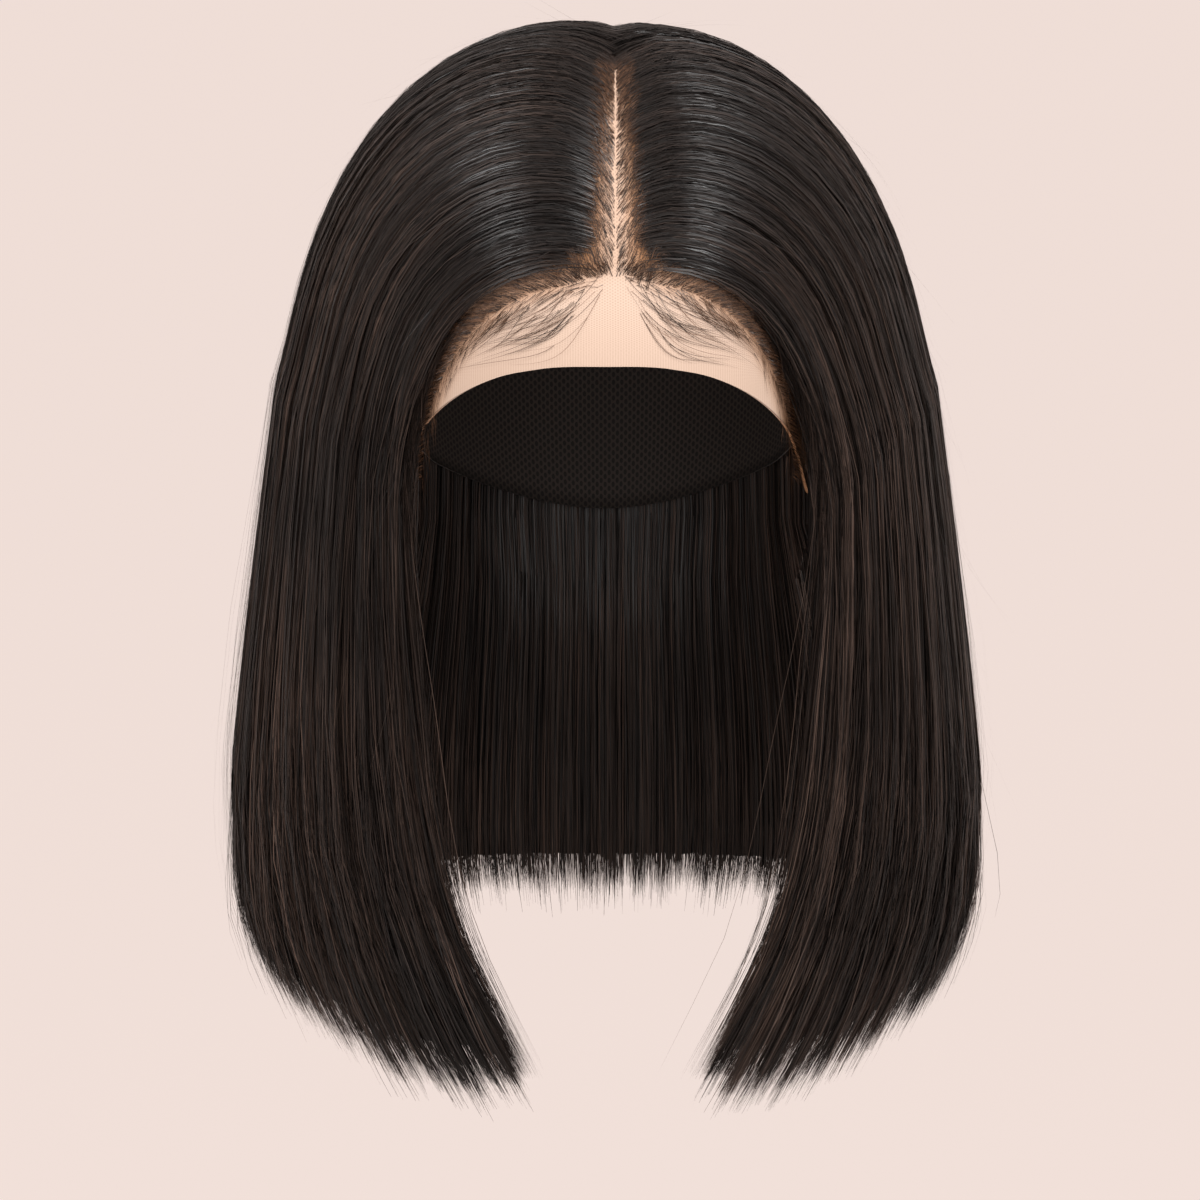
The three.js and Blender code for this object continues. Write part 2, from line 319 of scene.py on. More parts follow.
def fall_points(place, side, drop):
    """(outer, inner) surface of the hair that hangs. The inner one leaves the cap below its edge."""
    outside = outline_points(place, drop, side)
    thick = read(outline_table, "fall", fall_of(drop)).thick * read(strand_table, "place", place).thick
    hollow = pulled_in(outside, thick * hair_thickness)
    beside_cap = on_head(outside, cap_wall + hair_clearance)
    covered = 1 - smooth_step(drop, cap_depth, cap_depth + hair_thickness)
    return outside, mix(hollow, beside_cap, covered[..., None])


def hair_surfaces(place, side, along, tip_shift=0.0, aside=0.0):
    """(outer, inner) points of the hair. along is 0 at the root, 1 where it hangs, 2 at the cut ends."""
    turn = np.minimum(along, 1) * QUARTER
    row = read(strand_table, "place", place)
    share = np.maximum(along - 1, 0)
    drop = mix(row.hang * hang_drop, row.tip * hair_length + tip_shift, share)
    over = np.broadcast_to((along <= 1)[..., None], (*np.broadcast(place, along).shape, 3))
    dome, fall = dome_points(place, side, turn, aside), fall_points(place, side, drop)
    return tuple(np.where(over, a, b) for a, b in zip(dome, fall))


outer, inner = hair_surfaces(np.array([SIDE_PLACE]), np.array([1.0]), np.array([1.5]))
print("side of the hair in mm:", np.round(outer / MM, 1), "inner side:", np.round(inner / MM, 1))

# %% [markdown]
# ## From arrays to meshes
#
# Blender can make a mesh one face at a time, or take whole arrays through `foreach_set`. With tens of
# thousands of strands only the second way is quick. Everything below is made of quads on a grid, so one
# helper is enough. It also stores two things that the materials read: a UV map named `along`, which says
# how far across and how far down each point of a strand lies, and an attribute named `tone`, one chance
# value for each strand.

# %% Mesh helper
triangles = {}


def grid_quads(rows, columns, start=0):
    """Corner numbers of the quads of a grid whose points are numbered row by row from start."""
    row, column = np.meshgrid(np.arange(rows - 1), np.arange(columns - 1), indexing="ij")
    first = row * columns + column
    return start + np.stack([first, first + 1, first + columns + 1, first + columns], -1).reshape(-1, 4)


def put_mesh(name, points, quads, uv, tone, material):
    """One object from arrays: points (n, 3), quads (m, 4), and uv (n, 2) and tone (n) at the points."""
    mesh = bpy.data.meshes.new(name)
    mesh.vertices.add(len(points))
    mesh.vertices.foreach_set("co", np.asarray(points, np.float32).ravel())
    mesh.loops.add(quads.size)
    mesh.loops.foreach_set("vertex_index", quads.astype(np.int32).ravel())
    mesh.polygons.add(len(quads))
    mesh.polygons.foreach_set("loop_start", np.arange(0, quads.size, 4, dtype=np.int32))
    mesh.update(calc_edges=True)
    mesh.shade_smooth()
    layer = mesh.uv_layers.new(name="along")
    layer.uv.foreach_set("vector", np.asarray(uv, np.float32)[quads.ravel()].ravel())
    tones = mesh.attributes.new("tone", "FLOAT", "POINT")
    tones.data.foreach_set("value", np.asarray(tone, np.float32))
    mesh.materials.append(material)
    piece = bpy.data.objects.new(name, mesh)
    bpy.context.collection.objects.link(piece)
    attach(piece, "root")
    triangles[name] = len(quads) * 2
    print(f"{name}: {triangles[name]} triangles, {sum(triangles.values())} in all so far")
    return piece


# %% [markdown]
# ## Materials
#
# Hair shines along a band that runs across the strands, because every strand is a thin smooth rod. The
# Principled shader has an anisotropy for this: the gloss is narrow along the strand and wide across it.
# Its direction comes from a tangent, here the UV map. The colour has three parts: each strand's own
# tone, a slow change over the wig that browns the sides and the lengths, and lighter brown roots, which
# are partly the thin hair's own colour and partly painted light shining through it.

# %% Material helpers

# The Mix node has sockets for numbers, vectors and colours under the same names, so those for colours are
# found by their places.
MIX_SHARE = 0
MIX_FIRST = 6
MIX_SECOND = 7
MIX_RESULT = 2


def new_material(name, **sockets):
    """A Principled material with constants set on the shader's own sockets, and a shorthand for nodes."""
    material = bpy.data.materials.new(name)
    material.use_nodes = True
    nodes, links = material.node_tree.nodes, material.node_tree.links
    shader = nodes["Principled BSDF"]
    for socket, value in sockets.items():
        shader.inputs[socket.replace("_", " ")].default_value = value

    def node(kind, inputs=(), **settings):
        """A node with settings, whose inputs are values or the outputs of other nodes."""
        made = nodes.new(kind)
        for key, value in settings.items():
            setattr(made, key, value)
        for key, value in dict(inputs).items():
            if isinstance(value, bpy.types.NodeSocket):
                links.new(value, made.inputs[key])
            else:
                made.inputs[key].default_value = value
        return made

    def math(operation, *values):
        """A Math node's result."""
        return node("ShaderNodeMath", enumerate(values), operation=operation).outputs[0]

    def blend(share, a, b):
        """A colour between a and b."""
        inputs = {MIX_SHARE: share, MIX_FIRST: a, MIX_SECOND: b}
        return node("ShaderNodeMix", inputs, data_type="RGBA").outputs[MIX_RESULT]

    def connect(output, socket):
        """Links an output to one of the shader's own sockets."""
        links.new(output, shader.inputs[socket])

    return SimpleNamespace(material=material, node=node, math=math, blend=blend, connect=connect)


# %% Hair
hair_dark = (0.003, 0.0022, 0.002, 1)
hair_brown = (0.085, 0.054, 0.041, 1)
root_dark = (0.008, 0.004, 0.0025, 1)
lit_root_brown = (0.12, 0.056, 0.027, 1)
root_share = 0.03
root_browning = 0.6
streaks = (420.0, 3.0, 1.0)
streak_height = 0.4 * MM


def hair_material(name, streaked=False, light=0.0):
    """Near-black brown hair. A streaked surface gets strands painted along it as colour and bump. light is
    how far the colour goes towards that of thin roots, a lighter brown that is partly their own colour and
    partly painted light shining through them."""
    m = new_material(name, IOR=1.55, Anisotropic=0.75, Specular_IOR_Level=0.24)
    tangent = m.node("ShaderNodeTangent", direction_type="UV_MAP", uv_map="along")
    m.connect(tangent.outputs[0], "Tangent")
    tone = m.node("ShaderNodeAttribute", attribute_name="tone").outputs["Fac"]
    uv = m.node("ShaderNodeUVMap", uv_map="along").outputs[0]
    place = m.node("ShaderNodeTexCoord").outputs["Object"]
    drift = m.node("ShaderNodeTexNoise", {"Vector": place, "Scale": 14.0, "Detail": 3.0}).outputs["Fac"]
    if streaked:
        stretched = m.node("ShaderNodeMapping", {"Vector": uv, "Scale": streaks}).outputs[0]
        noise = m.node("ShaderNodeTexNoise", {"Vector": stretched, "Scale": 1.0, "Detail": 4.0})
        strand = noise.outputs["Fac"]
        tone = m.math("MULTIPLY", tone, strand)
        bump = m.node("ShaderNodeBump", {"Height": strand, "Strength": 0.8, "Distance": streak_height})
        m.connect(bump.outputs[0], "Normal")
    down = m.node("ShaderNodeSeparateXYZ", {"Vector": uv}).outputs["Y"]
    # Brown grows down the hair and comes in patches. A strand shows it by the third power of its tone, so
    # that most strands stay dark.
    browned = m.math("MINIMUM", m.math("MULTIPLY_ADD", down, 1.4, 0.3), 1.0)
    patches = m.math("MAXIMUM", m.math("MULTIPLY_ADD", drift, 1.8, -0.2), 0.0)
    patchy = m.math("MULTIPLY", patches, browned)
    length_colour = m.blend(m.math("MULTIPLY", m.math("POWER", tone, 3.0), patchy), hair_dark, hair_brown)
    # Thin roots are painted a lighter brown: partly their own colour, and partly painted light shining
    # through them.
    lit_root_colour = m.blend(tone, root_dark, lit_root_brown)
    ahead = m.node("ShaderNodeSeparateXYZ", {"Vector": place}).outputs["Y"]
    fading = {
        "Value": ahead,
        "From Min": hairline_y,
        "From Max": -parting_end - parting_closing,
        "To Min": root_browning,
        "To Max": 0.0,
    }
    beside = m.node("ShaderNodeMapRange", fading).outputs["Result"]
    near_root = m.math("MAXIMUM", m.math("MULTIPLY_ADD", down, -1 / root_share, beside), light)
    m.connect(m.blend(near_root, length_colour, lit_root_colour), "Base Color")
    m.connect(m.math("MULTIPLY_ADD", tone, 0.32, 0.24), "Roughness")
    return m.material


strand_finish = hair_material("hair_strands")
base_finish = hair_material("hair_base", streaked=True)
print("finishes of hair:", strand_finish.name, "and", base_finish.name)

# %% [markdown]
# ## Hair under the hair
#
# Between strands one sees more strands. Filling the whole depth with them would take millions, so each
# section gets a base first: the section's own closed curtain, a little inside its outer surface, with
# grooves between its locks and a thin lower edge. Fine streaks in its material stand for the strands
# that are out of reach.
#
# Locks come from a list of borders round the wig. Their widths are drawn by chance, so no two are alike.

# %% Sections and locks
sections = {
    "front_hair_left": (-1, -0.66),
    "side_hair_left": (-0.66, -0.32),
    "back_hair": (-0.32, 0.32),
    "side_hair_right": (0.32, 0.66),
    "front_hair_right": (0.66, 1),
}


def lock_borders(narrowest, widest, seed):
    """Borders of locks round the wig from -1 to 1: a running sum of widths drawn by chance."""
    chance = np.random.default_rng(seed)
    borders = np.cumsum(chance.uniform(narrowest, widest, int(2 / narrowest))) - 1
    return np.concatenate([[-1], borders[borders < 1 - narrowest], [1]])


def lock_of(about, borders):
    """(number, middle, half width) of the lock that each place round the wig lies in."""
    number = np.clip(np.searchsorted(borders, about) - 1, 0, len(borders) - 2)
    low, high = borders[number], borders[number + 1]
    return number, (low + high) / 2, (high - low) / 2


wide_locks = lock_borders(0.018, 0.05, 3)
fine_locks = lock_borders(0.006, 0.016, 4)
lock_chance = np.random.default_rng(5).uniform(-1, 1, (len(wide_locks), 4))
fine_chance = np.random.default_rng(6).uniform(-1, 1, len(fine_locks))
lock_groove = 2.6 * MM


def groove_at(along):
    """Depth of the grooves between locks: none at the roots, shallow over the head, full where it hangs."""
    return lock_groove * np.minimum(3 * along, 1) * mix(0.5, 1, smooth_step(along, 0.6, 1.2))


def lock_tip(number):
    """How much longer a lock is than the cut line."""
    return lock_point * (0.3 + 0.15 * lock_chance[number, 2])


print(f"{len(wide_locks) - 1} locks with {len(fine_locks) - 1} finer ones in them")

# %% [markdown]
# ## The bases themselves
#
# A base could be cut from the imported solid, but its grooves would then have to be pressed into loose
# triangles. It is quicker to work out both of its faces on a grid and close them with a strip along each
# border. The hairs of the parting hide where it begins, so it starts a little farther from the parting's
# middle than the strands do.

# %% Bases of the sections
base_rows = 36
base_columns = 200
base_depth = 1.8 * MM
base_sink = 1.0 * MM
base_end = 1.975
base_edge = 2.0 * MM
base_tip = -3.5 * MM
base_from_parting = 0.3
base_tone = 0.4
face_margin = 0.02

# A depth greater than any thickness of the hair, with which hair_at gives its inner surface.
THROUGH = 1.0


def shell(outer, inner):
    """A closed wall between two grids (rows, columns, 3): both faces and a strip along each border."""
    rows, columns = outer.shape[:2]
    points = np.concatenate([outer.reshape(-1, 3), inner.reshape(-1, 3)])
    inside = rows * columns
    number = np.arange(inside).reshape(rows, columns)
    quads = [grid_quads(rows, columns), grid_quads(rows, columns, inside)[:, ::-1]]
    for border in (number[0][::-1], number[-1], number[:, 0], number[::-1, -1]):
        a, b = border[:-1], border[1:]
        quads.append(np.stack([b, a, a + inside, b + inside], -1))
    return points, np.concatenate(quads)


def hair_at(about, along, depth, tip_shift=0.0, aside=0.0):
    """(points, outward directions) of the hair. about is -1 at the face's left edge, 0 at the back's
    middle and 1 at the face's right edge. depth is measured in from the outer surface, and ends just
    short of the inner one."""
    about, along = np.broadcast_arrays(about, along)
    place = 1 - np.minimum(np.abs(about), 1)
    side = np.where(about < 0, -1.0, 1.0)
    outer, inner = hair_surfaces(place, side, along, tip_shift, aside)
    inward = inner - outer
    thickness = np.linalg.norm(inward, axis=-1, keepdims=True)
    inward = inward / np.maximum(thickness, 1e-6)
    depth = np.minimum(np.broadcast_to(depth, about.shape)[..., None], 0.97 * thickness)
    return outer + inward * depth, -inward


def hair_base(name, start, end):
    """One section's curtain. Its outer surface lies base_depth inside the hair's, and deeper between the
    locks by a parabola. Towards the cut ends and the face's edge its inner surface draws near to it."""
    along = np.linspace(0, 1, base_rows)[:, None] ** 0.9 * base_end
    about = np.linspace(start, end, round((end - start) * base_columns))[None, :]
    _, lock_middle, half = lock_of(about, wide_locks)
    groove = groove_at(along) * ((about - lock_middle) / half) ** 2
    back_from_face = face_margin * smooth_step(np.abs(about), 0.9, 1)
    about = about * (1 - back_from_face * (1 + 2 * smooth_step(along, 0.4, 0)))
    at_face = smooth_step(np.abs(about), 0.93, 1 - face_margin)
    thinning = np.maximum(smooth_step(along, 1.3, base_end), at_face)
    depth = base_depth + groove + base_sink * thinning
    outer = hair_at(about, along, depth, base_tip, -base_from_parting)[0]
    far = hair_at(about, along, THROUGH, base_tip, -base_from_parting)[0]
    thickness = np.linalg.norm(far - outer, axis=-1, keepdims=True)
    edge = np.minimum(base_edge, 0.9 * thickness)
    inner = mix(far, outer + (far - outer) / np.maximum(thickness, 1e-6) * edge, thinning[..., None])
    points, quads = shell(outer, inner)
    u, v = np.broadcast_arrays(about, along / 2)
    uv = np.tile(np.stack([u, v], -1).reshape(-1, 2), (2, 1))
    piece = put_mesh(f"{name}_base", points, quads, uv, np.full(len(points), base_tone), base_finish)
    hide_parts(name)
    return piece


for name, (start, end) in sections.items():
    hair_base(name, start, end)

# %% [markdown]
# ## Strands
#
# Blender has hair curves, but a reusable model needs meshes, so each strand is a ribbon: two rows of
# points a quarter of a millimetre apart that narrow towards the tip. A ribbon is turned a little about
# its own length by chance. That is what breaks the shine into fine streaks, as on real hair.
#
# A strand doesn't go its own way. It belongs to a lock, and draws nearer to the lock's middle on its way
# down. Near the cut ends it joins a finer lock, which is why ends look like brush tips. It waves a
# little, a few strands stray across their neighbours, and few reach the longest ends.

# %% Strand ribbons
strand_width = 0.24 * MM
sink = root_thickness + hair_clearance

# The rows stand close at the root, over the head and at the ends, where a strand bends or narrows.
strand_steps = np.concatenate([[0, 0.03], np.linspace(0.09, 1, 12), [1.2, 1.45, 1.68, 1.85, 1.94, 2]])


def unit(vectors):
    """Each vector divided by its own length."""
    return vectors / np.maximum(np.linalg.norm(vectors, axis=-1, keepdims=True), 1e-9)


def waves(count, rng, steps, cycles):
    """A sum of two sines along each strand, from -1 to 1, with chance phases."""
    total = 0
    for scale in (1, 2.3):
        turns = cycles * scale * rng.uniform(0.6, 1.4, (count, 1))
        phase = rng.uniform(0, 2 * np.pi, (count, 1))
        total = total + np.sin(np.pi * turns * steps + phase) / scale / 1.5
    return total


def ribbons(paths, outward, half_width, roll):
    """Ribbons along paths (n, rows, 3). A ribbon's width lies across its path and its outward side, and
    is rolled about the path by an angle. Returns points and quads."""
    ahead = unit(np.gradient(paths, axis=1))
    across = unit(np.cross(ahead, outward))
    up = np.cross(across, ahead)
    width = (across * np.cos(roll)[..., None] + up * np.sin(roll)[..., None]) * half_width[..., None]
    points = np.stack([paths - width, paths + width], 2)
    count, rows = paths.shape[:2]
    one = grid_quads(rows, 2)
    quads = (one[None] + (np.arange(count) * rows * 2)[:, None, None]).reshape(-1, 4)
    return points.reshape(-1, 3), quads


def put_strands(name, paths, outward, half_width, roll, tone, length_share):
    """A piece of ribbons. length_share (rows) is how far along the hair each row lies, for the UV map."""
    count, rows = paths.shape[:2]
    shape = (count, rows)
    half_width, roll, length_share = (np.broadcast_to(a, shape) for a in (half_width, roll, length_share))
    points, quads = ribbons(paths, outward, half_width, roll)
    u = np.broadcast_to([0.0, 1.0], (count, rows, 2))
    v = np.broadcast_to(length_share[..., None], (count, rows, 2))
    tones = np.repeat(np.ravel(tone), rows * 2)
    piece = put_mesh(name, points, quads, np.stack([u, v], -1).reshape(-1, 2), tones, strand_finish)
    return piece


# %% [markdown]
# ## Strands of a section
#
# The strands of a section are worked out together, in arrays with a row for each strand and a column for
# each step down it. `home` is where a strand starts round the wig. The lines after it move the strands a
# little, as combing does on a real wig, and cut them to length. At the face's edge the strands start later,
# one behind the other, because there the hairline runs along their way.

# %% Strands of one section
late_start = 0.03
late_start_at_face = (0.05, 0.22)
row_jitter = 0.45
gather_shares = (0.1, 0.5)
pinch_share = 0.5
wild_share = 0.14
wild_stray = 0.009
usual_stray = 0.0026
lock_sway = 0.006
end_splay = 0.004
face_thinning = 0.04
long_share = 0.3
longest = 9
usual_shortening = 5
end_lift = 1.6
roll_spread = 0.45


def near_face(about, width):
    """0 round the wig and growing evenly to 1 over the last width before either edge of the face."""
    return np.clip((np.abs(about) - 1 + width) / width, 0, 1)


def section_strands(name, count, start, end, rng):
    """Strands of one section. A strand's place round the wig starts at home and is mixed with the middle of
    its lock and, at the ends, of its finer lock, with waves added. Its depth is a chance layer plus a
    parabola from the lock's middle, and its tip is the lock's own plus chance."""
    home = rng.uniform(start, end, (count, 1))
    late = late_start * rng.random((count, 1)) ** 2
    late = late + near_face(home, 0.04) ** 2 * rng.uniform(*late_start_at_face, (count, 1))
    jitter = rng.uniform(-row_jitter, row_jitter, (count, 1)) * np.gradient(strand_steps)
    steps = np.clip(strand_steps + jitter, 0, 2)
    steps[:, 0] = 0
    steps[:, -1] = 2
    steps = late + (2 - late) * steps / 2
    number, lock_middle, half = lock_of(home, wide_locks)
    fine_number, fine_middle, fine_half = lock_of(home, fine_locks)
    chance = lock_chance[number.ravel()]
    fine = fine_chance[fine_number.ravel()][:, None]

    ends = smooth_step(steps, 1.7, 2)
    gather = rng.uniform(*gather_shares, (count, 1)) * (steps / 2) ** 1.5
    pinch = rng.uniform(0, pinch_share, (count, 1)) * smooth_step(steps, 1.8, 2.1)
    wild = rng.random((count, 1)) < wild_share
    most_stray = np.where(wild, wild_stray, usual_stray)
    stray = most_stray * waves(count, rng, steps, 1.1) * np.minimum(steps, 1.3)
    sway = lock_sway * chance[:, 1:2] * np.sin(np.pi * steps + 3 * chance[:, 2:3]) * steps / 2
    about = mix(mix(home, lock_middle, gather), fine_middle, pinch)
    about = about + stray + sway + rng.normal(0, end_splay, (count, 1)) * ends
    thinned = face_thinning * near_face(home, 0.06) * rng.random((count, 1))
    about = about * (1 - thinned * smooth_step(steps, 1.1, 0.5))
    about = np.where(np.abs(about) > 1, np.sign(about) * 2 - about, about)

    off_middle = np.clip((home - lock_middle) / half, -1, 1)
    layer = rng.gamma(1.5, 0.7, (count, 1))
    ripple = 0.03 * waves(count, rng, steps, 1.2) + 0.5 * chance[:, 3:4] * np.minimum(3 * steps, 1)
    depth = (layer + ripple) * MM + groove_at(steps) * off_middle**2
    brush = (np.abs(home - fine_middle) / fine_half) ** 1.5 * 2
    long = np.where(rng.random((count, 1)) < long_share, rng.uniform(0, longest, (count, 1)), 0)
    short = (rng.exponential(usual_shortening, (count, 1)) + brush - 4 - long) * MM
    tip_shift = lock_tip(number) + lock_point * 0.45 * fine - short
    aside = rng.random((count, 1)) ** 1.5 * 0.6 - 0.1
    depth = np.maximum(depth, 0) + sink * np.maximum(0, 1 - (steps - late) * 12)
    depth = depth - rng.exponential(end_lift, (count, 1)) * MM * ends
    paths, outward = hair_at(about, steps, depth, tip_shift, aside)

    taper = np.clip((2.01 - steps) / 0.12, 0, 1) ** 0.6 * np.minimum(1, 0.5 + steps * 3)
    roll = rng.normal(0, roll_spread, (count, 1)) + 0.1 * waves(count, rng, steps, 1)
    tone = np.clip(rng.random(count) + 0.25 * chance[:, 0], 0, 1)
    half_width = strand_width / 2 * taper * rng.uniform(0.5, 1.5, (count, 1))
    return put_strands(f"{name}_strands", paths, outward, half_width, roll, tone, steps / 2)


strand_counts = {"front": 3800, "side": 2800, "back": 3300}
quick_share = 1
for name, (start, end) in sections.items():
    count = int(strand_counts[name.split("_")[0]] * quick_share)
    section_strands(name, count, start, end, RNG)

# %% [markdown]
# ## Strands inside the curtains
#
# Seen from below, from the front through the face's opening and at the cut ends, a curtain of hair shows
# its thickness. Strands from the roots aren't needed for that. These begin where the hair hangs, and the
# ones at the face's edge soften the border that is seen first.

# %% Strands inside the curtains and along their front edges
inner_counts = {"front": 1100, "side": 1100, "back": 2600}
inner_steps = np.linspace(1.15, 2, 8)
edge_count = 650
edge_spread = 0.035
edge_steps = np.linspace(0, 1, 14)


def inner_strands(name, count, start, end, rng):
    """Strands that hang all through a curtain's thickness and on its inner side: each is a mix of the
    inner and the outer surface by a chance share, and over a third of them lie on the inner one."""
    steps = inner_steps + np.zeros((count, 1))
    about = rng.uniform(start, end, (count, 1)) + 0.004 * waves(count, rng, steps, 1)
    tip_shift = lock_point * 0.4 - rng.exponential(3.5, (count, 1)) * MM
    outer, outward = hair_at(about, steps, 0.0, tip_shift)
    inner = hair_at(about, steps, THROUGH, tip_shift)[0]
    inside = np.maximum(rng.uniform(-0.6, 1, (count, 1, 1)), 0)
    paths = mix(inner, outer, inside) - outward * rng.uniform(0, 1.5, (count, 1, 1)) * MM
    half_width = strand_width / 2 * np.clip((2.01 - steps) / 0.13, 0, 1)
    roll = rng.normal(0, 0.4, (count, 1))
    tone = rng.random(count)
    return put_strands(f"{name}_inner_strands", paths, outward, half_width, roll, tone, steps / 2)


def edge_strands(name, count, side, rng):
    """Strands at the face's edge of a front curtain, all through its thickness. A chance flare moves each
    a few millimetres towards the face where it hangs."""
    steps = mix(rng.uniform(0.4, 1, (count, 1)), 2, edge_steps)
    spread = 1 - edge_spread * rng.random((count, 1)) ** 2
    about = side * np.minimum(spread + 0.006 * waves(count, rng, steps, 1), 1)
    tip_shift = lock_point * 0.5 - rng.exponential(8, (count, 1)) * MM
    depth = (rng.uniform(0, 7, (count, 1)) + 3 * np.maximum(0, 1 - 6 * edge_steps)) * MM
    paths, outward = hair_at(about, steps, depth, tip_shift, 0.2)
    flare = 1.1 * MM * waves(count, rng, steps, 1.4) + rng.exponential(1.8, (count, 1)) * MM
    paths[..., 0] -= side * flare * smooth_step(steps, 0.8, 1.6)
    taper = np.clip((2.02 - steps) / 0.2, 0, 1)
    half_width = strand_width / 2 * taper * rng.uniform(0.4, 1, (count, 1))
    roll = rng.normal(0, 0.6, (count, 1))
    tone = rng.random(count)
    return put_strands(f"{name}_edge_strands", paths, outward, half_width, roll, tone, steps / 2)


for name, (start, end) in sections.items():
    inner_strands(name, inner_counts[name.split("_")[0]], start, end, RNG)
edge_strands("front_hair_left", edge_count, -1, RNG)
edge_strands("front_hair_right", edge_count, 1, RNG)

# %% [markdown]
# ## Short hairs
#
# What makes a lace front look real is the short hair at its edges. Single hairs are knotted along the
# parting and the hairline, thinner and thinner towards the skin. In the parting they point outwards and
# backwards, like the bones of a fish. Along the hairline they lean into the hair behind them, and the
# longest, called baby hairs, sweep over the forehead in arcs towards the temples.
#
# Each of these lies on the cap. So they are drawn in flat measures, along the hairline and across it,
# and then laid on the head's form, a little higher in the middle than at the root.

# %% Hairs of the parting
root_finish = hair_material("root_hairs", light=1.0)


def put_short_hairs(name, paths, half_width, tone, length_share):
    """Ribbons that lie flat on the cap, in the browner finish of thin hair with skin colour behind it, which
    is partly the hair's own colour and partly painted light shining through it.
    """
    piece = put_strands(name, paths, form_outward(paths), half_width, 0.0, tone, length_share)
    piece.data.materials[0] = root_finish
    return piece


def on_top(x, y, growth):
    """Points of the head's form that stand over the flat places x, y."""
    shares = (np.abs(x) / (head_half_width + growth)) ** head_squareness
    shares = shares + (np.abs(y) / (head_half_depth + growth)) ** head_squareness
    z = (1 - shares) ** (1 / head_squareness) * (head_rise + growth) - head_rise
    return np.stack([x, y, z], -1)


def form_outward(points):
    """The head form's outward directions: how fast each power in its sum grows."""
    x, y, z = points[..., 0], points[..., 1], np.maximum(points[..., 2] + head_rise, 0)
    sizes = (head_half_width, head_half_depth, head_rise)
    slopes = [np.sign(p) * np.abs(p / s) ** (head_squareness - 1) / s for p, s in zip((x, y, z), sizes)]
    return unit(np.stack(slopes, -1))


short_steps = np.linspace(0, 1, 6)
parting_hair_width = 0.17 * MM
widest_past_edge = 2 * MM
parting_hairs_from = 1.5 * MM
lengths_beside_parting = (1.6, 4.2)
lengths_over_crown = (4, 10)
lean_at_hairline = 32
lean_at_crown = 52
more_lean_closing = 12
lean_spread = 9


def chance_side(count, rng):
    """-1 for the left or 1 for the right, by an even chance for each hair."""
    return np.where(rng.random((count, 1)) < 0.5, -1.0, 1.0)


def way(steps):
    """How far each row of a hair has got: the running sum of its steps, from 0 at the root."""
    return np.cumsum(steps, 1) - steps[:, :1]


def surface_stretch(y):
    """How much longer a step towards the face is on the head's middle line than seen from above."""
    share = np.abs(y) / head_half_depth
    up = (1 - share**head_squareness) ** (1 / head_squareness)
    return np.hypot(1, (share / up) ** (head_squareness - 1) * head_rise / head_half_depth)


def parting_hairs(count, rng):
    """Hairs that start anywhere in the parting and lean backwards by an angle that grows towards the
    crown. Each is a running sum of equal steps in its direction. Behind the parting's end they are
    longer and lie across it."""
    side = chance_side(count, rng)
    y = mix(hairline_y - parting_hairs_from, parting_closing - parting_end, rng.random((count, 1)))
    along = np.clip((y - hairline_y) / (-parting_end - hairline_y), 0, 1)
    widest = mix(parting_at_hairline + widest_past_edge, parting_at_end, along)
    outwards = rng.random((count, 1)) ** 1.1
    closing = smooth_step(along, 0.82, 1)
    x = mix(mix(0.15, -1.2, closing) * MM, widest, outwards)
    length_beside = rng.uniform(*lengths_beside_parting, (count, 1)) * (1 + outwards)
    length = mix(length_beside, rng.uniform(*lengths_over_crown, (count, 1)), closing) * MM
    usual_lean = mix(lean_at_hairline, lean_at_crown, along) + more_lean_closing * closing
    lean = np.radians(rng.normal(usual_lean, lean_spread)) * (1 - 0.3 * short_steps)
    step = length / (short_steps.size - 1)
    across = x + way(step * np.cos(lean))
    behind = y + way(step * np.sin(lean) / surface_stretch(y))
    lift = cap_wall + (0.1 + (0.7 + 2.2 * outwards) * np.sin(short_steps * 1.9)) * MM
    paths = on_top(parting_aside + side * across, behind, lift)
    half_width = parting_hair_width / 2 * (1.1 - short_steps) * rng.uniform(0.6, 1.4, (count, 1))
    tone = rng.random((count, 1)) ** 2 * (1 - closing)
    return put_short_hairs("parting_hairs", paths, half_width, tone, short_steps)


parting_hairs(4800, RNG)

# %% [markdown]
# ## The hairline
#
# Hairs are knotted one by one along the lace's front. A path that leaves the parting and runs to the
# temple is the measure for them: a share along it, and a drop from it towards the face. Most lean up and
# away from the face and cross the edge of the dense hair, which hides where it begins.

# %% Hairs of the hairline
hairline_samples = np.linspace(0, 1, 60)
hairline_hair_width = 0.15 * MM
spine_below_edge = 4.5 * MM
leaning_up = 0.9
lengths_up = (3, 7)
lengths_down = (4, 10)
lean_up = (40, 10)
lean_down = (-20, 9)


def hairline_at(along, side):
    """(points, directions ahead, directions to the forehead) of the hairline on the cap, for a share of
    the first strand's way over the head. It starts from the middle of the parting."""
    def on_cap(share):
        """The first strand's way over the head, brought down onto the cap."""
        place = 0 * share
        return on_head(dome_points(place, side + place, share * QUARTER, aside=1.0)[1], cap_wall)

    here, there = on_cap(along), on_cap(along + 0.01)
    ahead = unit(there - here)
    down = unit(np.cross(ahead, form_outward(here))) * side[..., None]
    return here, ahead, down


hairline_path = hairline_at(hairline_samples, np.ones(hairline_samples.size))[0]
hairline_length = np.linalg.norm(np.diff(hairline_path, axis=0), axis=1).sum()
print(f"hairline from the parting to the temple: {hairline_length / MM:.0f} mm")


def on_lace(along, drop, side, lift):
    """Points on the lace: a share along the hairline and a distance from it towards the face."""
    side = np.broadcast_to(side, along.shape)
    here, _, down = hairline_at(along, side)
    return on_head(here + down * drop[..., None], cap_wall + lift)


def spine_drop(along):
    """How far below the dense hair's edge the middle of the hairline lies. From it hairs lean both ways."""
    return spine_below_edge * smooth_step(along, 0, 0.16) * mix(1, 0.3, along)


